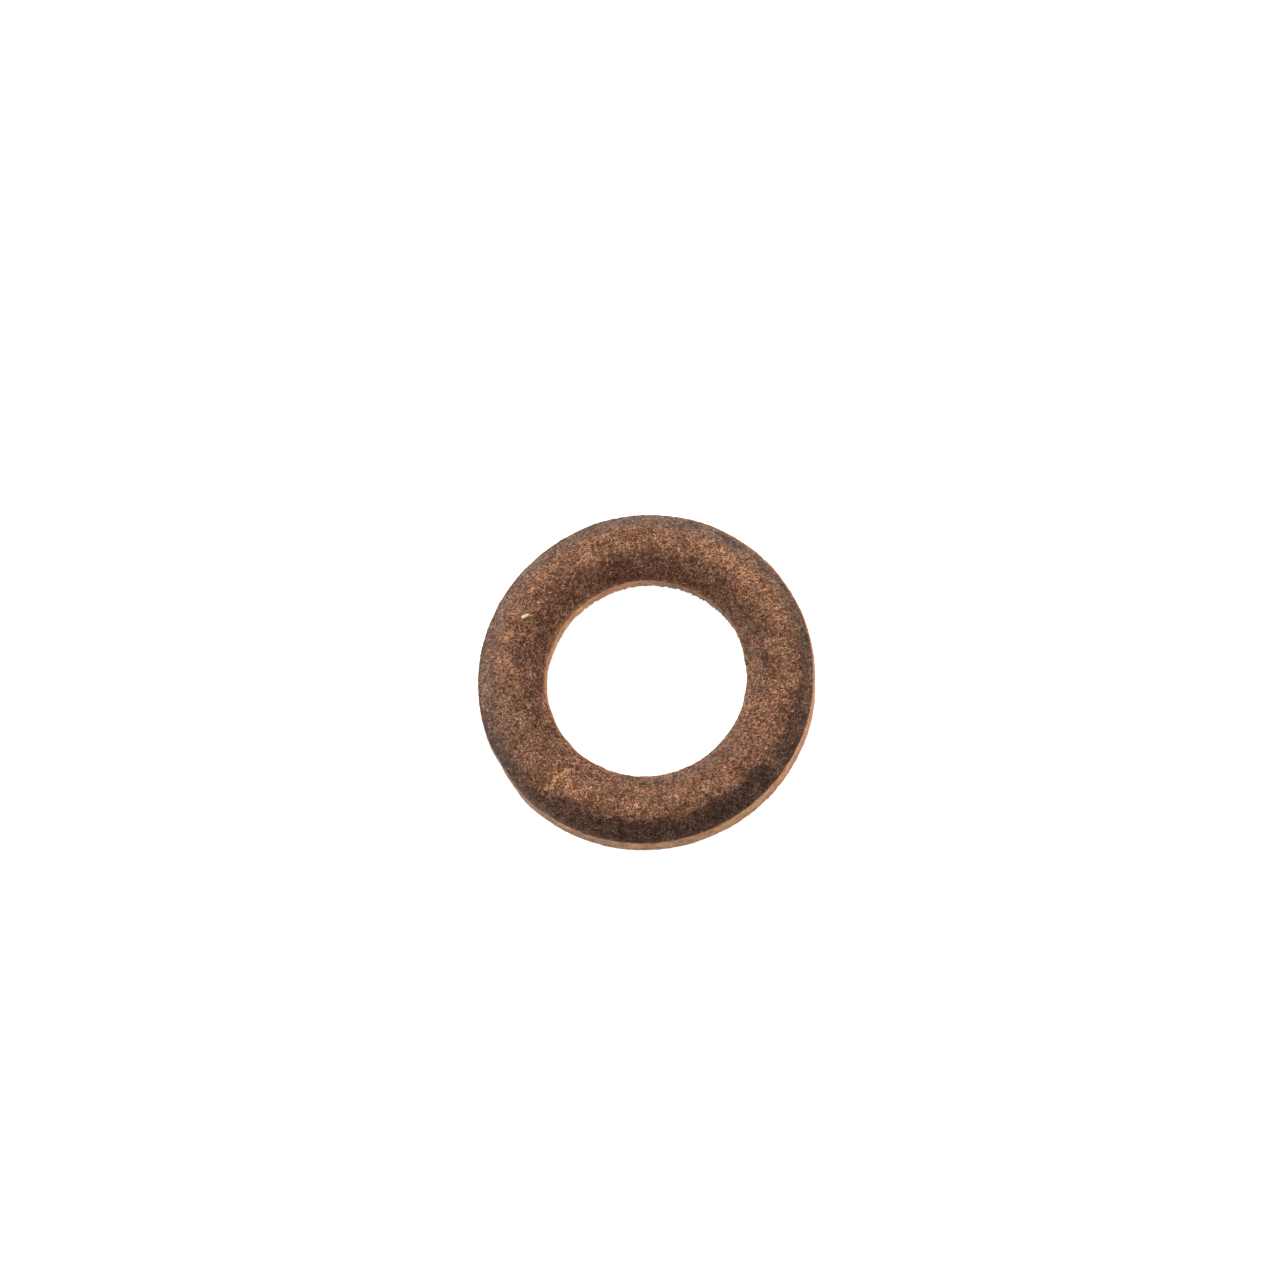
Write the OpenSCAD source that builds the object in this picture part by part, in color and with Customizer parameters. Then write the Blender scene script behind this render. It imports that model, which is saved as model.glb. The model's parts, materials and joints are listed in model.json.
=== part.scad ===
// Leather vee packing ring: one annulus of leather, moulded into a vee and cut to size.
// It lies as it rests, crown up, with the axis along Z and its lowest lip on Z = 0.

/* [Ring] */
// Diameter of the bore that seals on the rod
bore_d = 18.5; // [14:0.1:20]
// Outside diameter that seals in the stuffing box
outer_d = 30.8; // [29.2:0.1:40]

/* [Vee] */
// Angle at which the outer flank falls away from the crown, in degrees
outer_slope = 43; // [35:1:55]
// Angle at which the inner flank falls away from the crown, in degrees
inner_slope = 38; // [30:1:50]
// Radius of the rounded crown on top
crown_r = 2.6; // [1.6:0.1:3.2]
// Radius at the top of the vee groove underneath
groove_r = 0.9; // [0.4:0.1:1.4]

/* [Leather] */
// Thickness of the outer lip, which the mould gathers in and thickens
outer_lip_t = 2.1; // [1.4:0.05:2.4]
// Thickness of the inner lip, which the mould stretches and thins
inner_lip_t = 1.6; // [1.2:0.05:2.2]
// Width of the blunt land that each lip ends in
land_w = 0.35; // [0.2:0.05:0.8]
// Rounding of the rims, where the upper face meets a cut wall
rim_r = 0.2; // [0.1:0.05:0.5]
// Rounding of the corners on each side of a land
land_r = 0.08; // [0.04:0.02:0.1]

/* [Hidden] */

// Largest turn between one point of a rounded corner and the next, in degrees
arc_step = 6;

bore_r = bore_d / 2;
outer_r = outer_d / 2;

// The flanks run on to a sharp ridge, placed so that both rims stand at the same height
both_slopes = tan(outer_slope) + tan(inner_slope);
ridge_r = (outer_r * tan(outer_slope) + bore_r * tan(inner_slope)) / both_slopes;
ridge_rise = (outer_r - ridge_r) * tan(outer_slope);

// Straight down, a sloping lip measures more than its thickness
outer_drop = outer_lip_t / cos(outer_slope);
inner_drop = inner_lip_t / cos(inner_slope);

// Each cut wall ends where the land takes the lip's sharp edge off
outer_wall_h = outer_drop - land_w * tan(outer_slope);
inner_wall_h = inner_drop - land_w * tan(inner_slope);
rim_z = max(outer_wall_h, inner_wall_h);
outer_land_z = rim_z - outer_wall_h;
inner_land_z = rim_z - inner_wall_h;
ridge_z = rim_z + ridge_rise;

// Underneath, a flank runs parallel to each upper one, and the two meet in the groove
groove_ridge_r = ridge_r - (outer_drop - inner_drop) / both_slopes;
groove_ridge_z = ridge_z - outer_drop + (ridge_r - groove_ridge_r) * tan(outer_slope);

// Corners of the section, from the foot of the outer wall up over the crown: [radius, height, rounding]
section_corners = [
    [outer_r, outer_land_z, land_r],
    [outer_r, rim_z, rim_r],
    [ridge_r, ridge_z, crown_r],
    [bore_r, rim_z, rim_r],
    [bore_r, inner_land_z, land_r],
    [bore_r + land_w, inner_land_z, land_r],
    [groove_ridge_r, groove_ridge_z, groove_r],
    [outer_r - land_w, outer_land_z, land_r],
];

function unit(v) = v / norm(v);
function cross_z(v, w) = v[0] * w[1] - v[1] * w[0];
function turned(v, angle) = [v[0] * cos(angle) - v[1] * sin(angle), v[0] * sin(angle) + v[1] * cos(angle)];
function point(corner) = [corner[0], corner[1]];

// Points of the arc that rounds a corner, which stands between the corner before it and the one after
function rounded(before, corner, after) =
    let (
        back = unit(point(before) - point(corner)),
        ahead = unit(point(after) - point(corner)),
        half_angle = acos(back * ahead) / 2,
        radius = corner[2],
        centre = point(corner) + unit(back + ahead) * radius / sin(half_angle),
        first = point(corner) + back * radius / tan(half_angle) - centre,
        turn = -sign(cross_z(back, ahead)) * (180 - 2 * half_angle),
        steps = ceil(abs(turn) / arc_step)
    )
    [for (i = [0:steps]) centre + turned(first, turn * i / steps)];

// Outline that runs through every corner of the list, each one rounded
function rounded_outline(corners) =
    let (last = len(corners) - 1)
    [for (i = [0:last]) each rounded(corners[i == 0 ? last : i - 1], corners[i], corners[i == last ? 0 : i + 1])];

module packing_ring() {
    color("saddlebrown")
    rotate_extrude($fn = 180)
    polygon(rounded_outline(section_corners));
}

packing_ring();
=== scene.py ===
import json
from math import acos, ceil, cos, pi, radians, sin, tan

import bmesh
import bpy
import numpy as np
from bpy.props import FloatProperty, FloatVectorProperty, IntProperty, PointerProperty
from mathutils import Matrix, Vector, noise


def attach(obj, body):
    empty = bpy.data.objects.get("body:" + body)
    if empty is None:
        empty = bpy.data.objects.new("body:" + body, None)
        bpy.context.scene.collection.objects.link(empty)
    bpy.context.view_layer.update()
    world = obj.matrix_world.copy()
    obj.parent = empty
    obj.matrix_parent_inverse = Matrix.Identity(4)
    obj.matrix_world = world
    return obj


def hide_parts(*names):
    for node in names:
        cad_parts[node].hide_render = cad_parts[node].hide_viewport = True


bl_info = {
    "name": "Leather Vee Packing Ring",
    "version": (1, 0, 0),
    "blender": (4, 5, 0),
    "location": "3D View > Sidebar > Packing",
    "description": "Makes a moulded leather packing ring, with nap, cut edges and marks, in a studio",
    "category": "Add Mesh",
}

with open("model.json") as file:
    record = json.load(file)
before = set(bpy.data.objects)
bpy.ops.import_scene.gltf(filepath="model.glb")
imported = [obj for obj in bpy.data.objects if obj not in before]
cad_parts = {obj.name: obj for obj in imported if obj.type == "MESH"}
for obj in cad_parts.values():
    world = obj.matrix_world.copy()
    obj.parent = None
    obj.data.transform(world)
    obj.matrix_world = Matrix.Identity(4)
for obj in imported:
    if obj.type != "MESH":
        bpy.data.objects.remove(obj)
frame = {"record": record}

NODE = "packing_ring"
BODY = "root"
MM = 0.001

# Radii of the two cut walls, in millimetres
mounts = {mount["name"]: mount["dims"] for mount in frame["record"]["mounts"]}
BORE = mounts["bore"]["r_mm"]
OUTER = mounts["outer_wall"]["r_mm"]


# Settings

def millimetres(name, description, value):
    return FloatProperty(name=name, description=description, default=value * MM, unit="LENGTH")


def degrees(name, description, value):
    return FloatProperty(name=name, description=description, default=radians(value), subtype="ANGLE")


def colour(name, description, value):
    return FloatVectorProperty(
        name=name, description=description, default=value, subtype="COLOR", size=3, min=0.0, max=2.0)


class RingSettings(bpy.types.PropertyGroup):
    """Sizes of the moulded ring"""
    outer_radius: millimetres("Outer radius", "Radius of the outer cut wall", OUTER)
    bore_radius: millimetres("Bore radius", "Radius of the cut wall in the bore", BORE)
    outer_slope: degrees("Outer slope", "Fall of the outer flank", 43)
    inner_slope: degrees("Inner slope", "Fall of the inner flank", 38)
    crown_radius: millimetres("Crown radius", "Rounding of the crown", 2.6)
    groove_radius: millimetres("Groove radius", "Rounding at the top of the groove", 0.9)
    outer_lip: millimetres("Outer lip", "Leather thickness of the outer lip", 2.1)
    inner_lip: millimetres("Inner lip", "Leather thickness of the inner lip", 1.6)
    land: millimetres("Land", "Width of the blunt land under a lip", 0.35)
    rim_rounding: millimetres("Rim rounding", "Rounding where the upper face meets a cut wall", 0.16)
    land_rounding: millimetres("Land rounding", "Rounding of a land's corners", 0.08)
    segments: IntProperty(name="Segments", description="Steps around the ring", default=620)
    upper_step: millimetres("Upper step", "Spacing of points across the upper face", 0.105)
    wall_step: millimetres("Wall step", "Spacing of points down the cut walls", 0.13)
    under_step: millimetres("Underside step", "Spacing of points across the underside", 0.24)


class NapSettings(bpy.types.PropertyGroup):
    """Fibres that lie and stand on the leather"""
    spacing: millimetres("Nap spacing", "Least distance between the fibres of one layer of the nap", 0.22)
    length: millimetres("Nap length", "Length of a nap fibre", 0.42)
    width: millimetres("Nap width", "Width of a nap fibre", 0.105)
    loft: millimetres("Nap loft", "Height that a nap fibre arches up to", 0.05)
    edge_spacing: millimetres("Edge spacing", "Least distance between fibres on a cut wall", 0.2)
    edge_length: millimetres("Edge length", "Length of a fibre on a cut wall", 0.26)
    edge_width: millimetres("Edge width", "Width of a fibre on a cut wall", 0.06)
    torn_spacing: millimetres("Torn spacing", "Least distance between fibres that a scratch tore up", 0.09)


class ColourSettings(bpy.types.PropertyGroup):
    """Colours of the leather"""
    pit: colour("Pits", "Depths between the fibres", (0.043, 0.0155, 0.0080))
    ground: colour("Ground", "Dyed ground of the flesh side", (0.229, 0.106, 0.061))
    strand: colour("Strands", "Lightest of the copper-coloured fibres", (0.914, 0.501, 0.307))
    warmth: colour("Warmth", "What worn copper-coloured places are tinted by", (1.14, 1.12, 1.02))
    # Tint of the burnished band: partly pressed leather, partly painted shade on the inner flank
    burnish_and_shade: colour("Burnish_And_Shade", "What places that the former pressed are tinted by", (0.735, 0.662, 0.655))
    soil: colour("Soil", "What dark stains are tinted by", (0.435, 0.465, 0.56))
    # Tints of the waxy places: partly a waxy film's own colour, partly painted sheen
    bloom_and_sheen: colour("Bloom_And_Sheen", "What waxy places are tinted by", (0.64, 0.79, 0.90))
    wax_and_sheen: colour("Wax_And_Sheen", "Grey film of wax", (0.130, 0.102, 0.086))
    torn: colour("Torn", "Fibres laid bare by a scratch", (0.860, 0.455, 0.195))
    cut: colour("Cut edge", "Raw leather of the cut walls", (0.770, 0.408, 0.214))
    aged: colour("Aged edge", "Cut walls where they have gone grey", (0.340, 0.225, 0.165))
    # Tint of the grimy stretches: partly grimy, partly painted shade along the walls
    grime_and_shade: colour("Grime_And_Shade", "What grimy stretches of the cut walls are tinted by", (0.62, 0.60, 0.56))
    arris: colour("Rubbed rims", "Bright edge of the rims", (0.560, 0.225, 0.080))
    grain: colour("Grain side", "Smoother skin underneath", (0.105, 0.050, 0.029))


class StudioSettings(bpy.types.PropertyGroup):
    """Camera and lights"""
    tilt: degrees("Tilt", "Lean of the view from straight down", 15.5)
    lean_towards: degrees("Lean towards", "Direction in which the view leans", -72)
    distance: millimetres("Distance", "Camera's distance from the ring", 800)
    key_from: degrees("Key from", "Direction that the key light comes from", 108)
    key_height: degrees("Key height", "Height of the key light over the floor", 45)
    key_power: FloatProperty(
        name="Key power", description="Power of the key light", default=4.6, unit="POWER")
    sky: FloatProperty(name="Sky", description="Brightness of the soft light all round", default=0.62)


# Node trees

NODE_GAP = 190
FLOAT = "NodeSocketFloat"
VECTOR = "NodeSocketVector"
COLOUR = "NodeSocketColor"
INTEGER = "NodeSocketInt"
GEOMETRY = "NodeSocketGeometry"
MATERIAL = "NodeSocketMaterial"


def socket_named(sockets, name):
    return next(
        socket for socket in sockets if socket.enabled and name in (socket.name, socket.identifier))


class Steps:
    """Adds nodes to a tree in order, each fed with plain values or with the outputs of earlier nodes"""

    def __init__(self, tree):
        self.tree = tree

    def node(self, kind, feeds=None, **settings):
        node = self.tree.nodes.new(kind)
        node.location.x = NODE_GAP * len(self.tree.nodes)
        for name, value in settings.items():
            setattr(node, name, value)
        for name, value in (feeds or {}).items():
            self.feed(socket_named(node.inputs, name), value)
        return node

    def feed(self, socket, value):
        """Links an output to a socket, or sets the socket to a plain value, opaque where it is a colour"""
        if isinstance(value, bpy.types.NodeSocket):
            self.tree.links.new(value, socket)
        elif socket.type == "RGBA":
            socket.default_value = (*value, 1.0)
        else:
            socket.default_value = value

    def out(self, kind, output, feeds=None, **settings):
        return socket_named(self.node(kind, feeds, **settings).outputs, output)

    def maths(self, operation, first, second=0.0):
        node = self.node("ShaderNodeMath", operation=operation)
        self.feed(node.inputs[0], first)
        self.feed(node.inputs[1], second)
        return node.outputs[0]

    def plus(self, first, second):
        return self.maths("ADD", first, second)

    def minus(self, first, second):
        return self.maths("SUBTRACT", first, second)

    def times(self, first, second):
        return self.maths("MULTIPLY", first, second)

    def apart(self, first, second):
        """How far two values are from each other"""
        return self.maths("ABSOLUTE", self.minus(first, second))

    def vectors(self, operation, first, *others):
        """Vector maths with one or two vectors, or with a vector and a scale"""
        node = self.node("ShaderNodeVectorMath", operation=operation)
        used = [socket for socket in node.inputs if socket.enabled]
        for socket, value in zip(used, (first, *others)):
            self.feed(socket, value)
        return next(socket for socket in node.outputs if socket.enabled)

    def level(self, place):
        """The place straight below or above, at height 0"""
        return self.vectors("MULTIPLY", place, (1.0, 1.0, 0.0))

    def height_of(self, vector):
        return self.out("ShaderNodeSeparateXYZ", "Z", {"Vector": vector})

    def between(self, value, low, high, to_low=0.0, to_high=1.0, smooth=True):
        """Turns the range of a value from low to high into another range, and holds it there"""
        feeds = {"Value": value, "From Min": low, "From Max": high, "To Min": to_low, "To Max": to_high}
        kind = "SMOOTHSTEP" if smooth else "LINEAR"
        return self.out("ShaderNodeMapRange", "Result", feeds, interpolation_type=kind)

    def noise(self, where, size, detail=2.0, roughness=0.5, distortion=0.0):
        """Noise whose lumps are about as wide as size, in metres"""
        scale = self.maths("DIVIDE", 1.0, size) if isinstance(size, bpy.types.NodeSocket) else 1.0 / size
        feeds = {
            "Vector": where, "Scale": scale, "Detail": detail, "Roughness": roughness,
            "Distortion": distortion}
        return self.out("ShaderNodeTexNoise", "Fac", feeds)

    def blend(self, share, under, over, kind="MIX"):
        feeds = {"Factor": share, "A": under, "B": over}
        return self.out("ShaderNodeMix", "Result", feeds, data_type="RGBA", blend_type=kind)

    def tint(self, share, under, by):
        return self.blend(share, under, by, "MULTIPLY")

    def mixed(self, share, first, second):
        feeds = {"Factor": share, "A": first, "B": second}
        return self.out("ShaderNodeMix", "Result", feeds, data_type="FLOAT")


def new_group(kind, name, inputs, outputs):
    """A node group with named inputs, given as {name: (socket type, default)}, and named outputs"""
    tree = bpy.data.node_groups.new(name, kind)
    for label, (socket_type, default) in inputs.items():
        socket = tree.interface.new_socket(name=label, in_out="INPUT", socket_type=socket_type)
        if default is not None:
            socket.default_value = default
    for label, socket_type in outputs.items():
        tree.interface.new_socket(name=label, in_out="OUTPUT", socket_type=socket_type)
    given = tree.nodes.new("NodeGroupInput").outputs
    result = tree.nodes.new("NodeGroupOutput").inputs
    return Steps(tree), given, result


# Effects that several finishes share

# Marks that are painted on the mesh, and that the colours of dyed and of raw leather read
DYED_MARKS = ("stain", "soak", "burnish_and_shade", "wax_and_sheen", "bright", "scuff", "rubbed")
RAW_MARKS = ("aged", "grime_and_shade", "rubbed", "foot")


def leather_inputs(marks):
    return {"Vector": (VECTOR, None), "Tone": (FLOAT, 0.5), **{mark.title(): (FLOAT, 0.0) for mark in marks}}


def shaded(paint, amount):
    return [amount * part for part in paint]


def felted_fibres():
    """Matted fibres: thin light strands that curl over dark pits"""
    inputs = {"Vector": (VECTOR, None), "Strand": (FLOAT, 0.3 * MM), "Seed": (FLOAT, 0.0)}
    outputs = {"Strands": FLOAT, "Pits": FLOAT, "Height": FLOAT}
    steps, given, result = new_group("ShaderNodeTree", "Felted fibres", inputs, outputs)
    strand = given["Strand"]
    shift = steps.out("ShaderNodeCombineXYZ", "Vector", {"X": given["Seed"], "Y": given["Seed"]})
    here = steps.vectors("ADD", given["Vector"], shift)

    def folds(wider, offset):
        place = steps.vectors("ADD", here, (offset, 2 * offset, 3 * offset))
        lumps = steps.noise(place, steps.times(strand, wider), 2.0, 0.55, 1.2)
        return steps.between(steps.apart(lumps, 0.5), 0.11, 0.0)

    crossing = steps.maths("MAXIMUM", folds(1.0, 0.11), folds(1.45, 0.37))
    tufts = steps.noise(here, steps.times(strand, 3.2), 3.0, 0.6, 0.6)
    strands = steps.times(crossing, steps.between(tufts, 0.30, 0.62, 0.5, 1.0))
    hollows = steps.noise(here, steps.times(strand, 0.8), 3.0, 0.6, 0.8)
    pits = steps.between(hollows, 0.54, 0.38)
    steps.feed(result["Strands"], strands)
    steps.feed(result["Pits"], pits)
    steps.feed(result["Height"], steps.minus(steps.times(strands, 0.7), steps.times(pits, 0.6)))
    return steps.tree


def ragged_patch():
    """Turns a painted amount, from 0 to 1, into a patch that covers that share in tatters"""
    inputs = {"Vector": (VECTOR, None), "Amount": (FLOAT, 0.0), "Tatters": (FLOAT, 0.2 * MM)}
    steps, given, result = new_group("ShaderNodeTree", "Ragged patch", inputs, {"Mask": FLOAT})
    fine = steps.noise(given["Vector"], given["Tatters"], 2.0, 0.6, 0.5)
    broad = steps.noise(given["Vector"], steps.times(given["Tatters"], 5.0), 2.0, 0.6)
    raggedness = steps.between(steps.mixed(0.35, fine, broad), 0.36, 0.64, smooth=False)
    wanted = steps.minus(steps.times(given["Amount"], 1.4), 0.2)
    steps.feed(result["Mask"], steps.between(steps.minus(wanted, raggedness), -0.12, 0.12))
    return steps.tree


def dyed_leather(colours, patch):
    """Colour of the flesh side for a tone from 0, in a pit, to 1, a bright fibre, with its stains, its waxy
    film and painted sheen, and painted shade on the burnished band
    """
    outputs = {"Color": COLOUR, "Smooth": FLOAT}
    steps, given, result = new_group("ShaderNodeTree", "Dyed leather", leather_inputs(DYED_MARKS), outputs)
    here = given["Vector"]

    def tattered(amount, tatters):
        return group(steps, patch, {"Vector": here, "Amount": amount, "Tatters": tatters})["Mask"]

    cloudy = steps.noise(here, 0.35 * MM, 4.0, 0.65, 0.4)
    bright = steps.times(given["Bright"], steps.between(cloudy, 0.38, 0.6, 0.4, 1.0))
    wax_and_sheen = steps.times(given["Wax_And_Sheen"], steps.between(cloudy, 0.35, 0.6, 1.0, 0.55))
    stained = steps.times(tattered(given["Stain"], 0.2 * MM), given["Soak"])
    patchy = steps.between(steps.noise(here, 1.2 * MM, 1.0, 0.5), 0.3, 0.7, -0.04, 0.04)
    tone = steps.plus(steps.plus(given["Tone"], patchy), steps.times(bright, 0.13))
    skin = steps.blend(steps.between(tone, 0.0, 0.45, smooth=False), colours.pit, colours.ground)
    skin = steps.blend(steps.between(tone, 0.45, 1.0, smooth=False), skin, colours.strand)
    # The burnished band's tint is partly painted shade on the inner flank
    for share, paint in (
            (bright, colours.warmth), (given["Burnish_And_Shade"], colours.burnish_and_shade), (stained, colours.soil),
            (wax_and_sheen, colours.bloom_and_sheen)):
        skin = steps.tint(share, skin, paint)
    # The grey film here and the tint of the waxy places above are partly the waxy film's colour and partly
    # painted sheen
    skin = steps.blend(steps.times(wax_and_sheen, 0.3), skin, colours.wax_and_sheen)
    torn = steps.times(tattered(given["Scuff"], 0.25 * MM), steps.between(tone, 0.1, 0.7, 0.2, 0.85))
    skin = steps.blend(torn, skin, colours.torn)
    rubbed = steps.times(given["Rubbed"], steps.between(cloudy, 0.35, 0.6, 0.35, 0.75))
    steps.feed(result["Color"], steps.blend(rubbed, skin, colours.arris))
    steps.feed(result["Smooth"], wax_and_sheen)
    return steps.tree


def raw_leather(colours):
    """Colour of cut leather for a tone from 0, between the fibres, to 1, a pale fibre's end"""
    outputs = {"Color": COLOUR, "Layers": FLOAT}
    steps, given, result = new_group("ShaderNodeTree", "Raw leather", leather_inputs(RAW_MARKS), outputs)
    flat = steps.vectors("MULTIPLY", given["Vector"], (1.0, 1.0, 3.5))
    layers = steps.noise(flat, 0.8 * MM, 5.0, 0.65)
    tall = steps.vectors("MULTIPLY", given["Vector"], (1.0, 1.0, 0.4))
    streaks = steps.noise(tall, 1.1 * MM, 3.0, 0.6)
    tone = steps.plus(given["Tone"], steps.between(layers, 0.34, 0.66, -0.26, 0.26))
    tone = steps.plus(tone, steps.between(streaks, 0.36, 0.64, -0.16, 0.16))
    tone = steps.between(tone, 0.0, 1.0, smooth=False)
    skin, old = [
        steps.blend(tone, shaded(paint, 0.42), shaded(paint, 1.23)) for paint in (colours.cut, colours.aged)]
    tinge = steps.blend(steps.between(streaks, 0.36, 0.64), (1.06, 0.96, 0.97), (0.98, 1.01, 0.97))
    skin = steps.tint(1.0, skin, tinge)
    skin = steps.blend(steps.times(given["Aged"], steps.between(layers, 0.6, 0.4, 0.7, 1.0)), skin, old)
    # Grimy stretches and painted shade darken the walls
    skin = steps.tint(given["Grime_And_Shade"], skin, colours.grime_and_shade)
    skin = steps.blend(steps.times(given["Rubbed"], 0.8), skin, colours.arris)
    # Painted shade along the foot of the walls, in the ground's colour
    steps.feed(result["Color"], steps.blend(steps.times(given["Foot"], 0.6), skin, colours.ground))
    steps.feed(result["Layers"], layers)
    return steps.tree


# Spacing of the creases round the ring, in radians, and how far a metre of place shifts them
CREASE_ANGLE = 0.075
CREASE_WANDER = 11.0


def radial_creases(steps, place):
    """Fine folds that run across the underside, where the leather was squeezed into the vee"""
    direction = steps.vectors("NORMALIZE", steps.level(place))
    wander = steps.vectors("SCALE", place, CREASE_WANDER)
    fold = steps.noise(steps.vectors("ADD", direction, wander), CREASE_ANGLE, 3.0, 0.55)
    return steps.between(steps.apart(fold, 0.5), 0.045, 0.0)


# Finishes

# Hues that single fibres lean to
COPPER_HUE = (1.22, 0.98, 0.80)
MAUVE_HUE = (0.85, 1.02, 1.12)
WAXED_ROUGHNESS = 0.5
RAW_ROUGHNESS = 0.8
RAW_SHINE = 0.3


def new_material(name):
    material = bpy.data.materials.new(name)
    material.use_nodes = True
    material.node_tree.nodes.clear()
    return material, Steps(material.node_tree)


def finish_with(steps, **sockets):
    """The shader and output of a finish, with each named input of the shader set or fed"""
    feeds = {name.replace("_", " "): value for name, value in sockets.items()}
    shader = steps.node("ShaderNodeBsdfPrincipled", feeds)
    steps.node("ShaderNodeOutputMaterial", {"Surface": shader.outputs["BSDF"]})


def attribute(steps, name, kind="Fac"):
    return steps.out("ShaderNodeAttribute", kind, attribute_name=name)


def object_place(steps):
    return steps.out("ShaderNodeTexCoord", "Object")


def bumped(steps, height, depth):
    return steps.out("ShaderNodeBump", "Normal", {"Strength": 1.0, "Distance": depth, "Height": height})


def group(steps, tree, feeds):
    node = steps.node("ShaderNodeGroup", node_tree=tree)
    for name, value in feeds.items():
        steps.feed(node.inputs[name], value)
    return node.outputs


def marked(steps, leather, here, tone, marks):
    """Outputs of a leather's colour group, with the marks that are painted on the mesh"""
    painted = {mark.title(): attribute(steps, mark) for mark in marks}
    return group(steps, leather, {"Vector": here, "Tone": tone, **painted})


def flesh_finish(felt, dye):
    """Ground of the flesh side, between and under its fibres"""
    material, steps = new_material("Flesh side")
    here = object_place(steps)
    nap = group(steps, felt, {"Vector": here, "Strand": 0.30 * MM})
    fine = group(steps, felt, {"Vector": here, "Strand": 0.16 * MM, "Seed": 0.7})
    light = steps.maths("MAXIMUM", nap["Strands"], steps.times(fine["Strands"], 0.7))
    tone = steps.minus(steps.times(light, 0.5), steps.times(nap["Pits"], 0.3))
    leather = marked(steps, dye, here, steps.plus(tone, 0.2), DYED_MARKS)
    height = steps.plus(nap["Height"], steps.times(fine["Height"], 0.5))
    finish_with(
        steps, Base_Color=leather["Color"], Roughness=steps.mixed(leather["Smooth"], 0.85, WAXED_ROUGHNESS),
        Specular_IOR_Level=0.15, Normal=bumped(steps, height, 0.045 * MM))
    return material


def nap_finish(name, dye, darkest, lightest):
    """Fibres of the nap, each with its own tone, dyed and marked like the leather that they grow on"""
    material, steps = new_material(name)
    tone = steps.between(attribute(steps, "tint"), 0.0, 1.0, darkest, lightest, smooth=False)
    # Each fibre darkens towards its ends, where it dips into the nap: painted shade
    tone = steps.plus(tone, steps.between(attribute(steps, "rise"), 0.0, 1.0, -0.3, 0.1))
    grain = steps.between(steps.noise(object_place(steps), 0.09 * MM, 2.0, 0.6), 0.3, 0.7, -0.13, 0.13)
    leather = marked(steps, dye, attribute(steps, "spot", "Vector"), steps.plus(tone, grain), DYED_MARKS)
    hue = steps.blend(attribute(steps, "hue"), COPPER_HUE, MAUVE_HUE)
    finish_with(
        steps, Base_Color=steps.tint(1.0, leather["Color"], hue),
        Roughness=steps.mixed(leather["Smooth"], 0.8, WAXED_ROUGHNESS), Specular_IOR_Level=0.18)
    return material


def cut_finish(felt, raw):
    """Raw cut edge: pale, dense fibre ends in faint layers"""
    material, steps = new_material("Cut edge")
    here = object_place(steps)
    flat = steps.vectors("MULTIPLY", here, (1.0, 1.0, 2.2))
    ends = group(steps, felt, {"Vector": flat, "Strand": 0.26 * MM, "Seed": 0.3})
    tone = steps.minus(steps.times(ends["Strands"], 0.45), steps.times(ends["Pits"], 0.4))
    specks = steps.between(steps.noise(here, 0.12 * MM, 2.0, 0.6), 0.35, 0.65, -0.16, 0.16)
    leather = marked(steps, raw, here, steps.plus(steps.plus(tone, specks), 0.42), RAW_MARKS)
    height = steps.plus(steps.times(leather["Layers"], 0.6), ends["Height"])
    finish_with(
        steps, Base_Color=leather["Color"], Roughness=0.85, Specular_IOR_Level=RAW_SHINE,
        Normal=bumped(steps, height, 0.04 * MM))
    return material


def edge_fibre_finish(raw):
    """Fibres of the cut walls, each with its own tone"""
    material, steps = new_material("Edge fibres")
    tone = steps.between(attribute(steps, "tint"), 0.0, 1.0, 0.1, 0.95, smooth=False)
    leather = marked(steps, raw, attribute(steps, "spot", "Vector"), tone, RAW_MARKS)
    finish_with(steps, Base_Color=leather["Color"], Roughness=RAW_ROUGHNESS, Specular_IOR_Level=RAW_SHINE)
    return material


def grain_finish(colours):
    """Grain side, underneath: smoother skin with pores, darker up in the groove and in the creases as painted
    shade, worn on the lips
    """
    material, steps = new_material("Grain side")
    here = object_place(steps)
    pores = steps.out("ShaderNodeTexVoronoi", "Distance", {"Vector": here, "Scale": 1.0 / (0.3 * MM)})
    cloudy = steps.noise(here, 1.6 * MM, 4.0, 0.65)
    depth = steps.plus(steps.height_of(here), steps.between(cloudy, 0.3, 0.7, -0.5 * MM, 0.5 * MM))
    worn = steps.between(depth, 0.9 * MM, 0.1 * MM)
    skin = steps.blend(steps.between(cloudy, 0.35, 0.65), colours.grain, shaded(colours.grain, 0.7))
    skin = steps.blend(steps.times(worn, 0.5), skin, colours.ground)
    # Darkening up in the groove and in the creases is painted shade; the pores' darkening is their own colour
    for dark in (
            steps.between(depth, 1.1 * MM, 2.3 * MM, 0.0, 0.75), steps.between(pores, 0.2, 0.06, 0.0, 0.7),
            steps.times(radial_creases(steps, here), 0.45)):
        skin = steps.blend(dark, skin, colours.pit)
    bumps = steps.plus(steps.between(pores, 0.0, 0.3), steps.noise(here, 0.5 * MM, 3.0, 0.6))
    finish_with(
        steps, Base_Color=skin, Roughness=0.45, Specular_IOR_Level=0.3,
        Normal=bumped(steps, bumps, 0.04 * MM))
    return material


def loose_finish(name, dark, light):
    """Undyed fibres and flecks, each with its own tone"""
    material, steps = new_material(name)
    skin = steps.blend(attribute(steps, "tint"), dark, light)
    finish_with(steps, Base_Color=skin, Roughness=RAW_ROUGHNESS, Specular_IOR_Level=RAW_SHINE)
    return material


# Shape of the ring

# Longest step along a rounded corner of the section, and its largest turn
ARC_STEP = 0.1 * MM
ARC_TURN = radians(24)

# A stretch of the outline that goes less than this share of its length sideways is a wall
WALL_LEAN = 0.2

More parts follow.
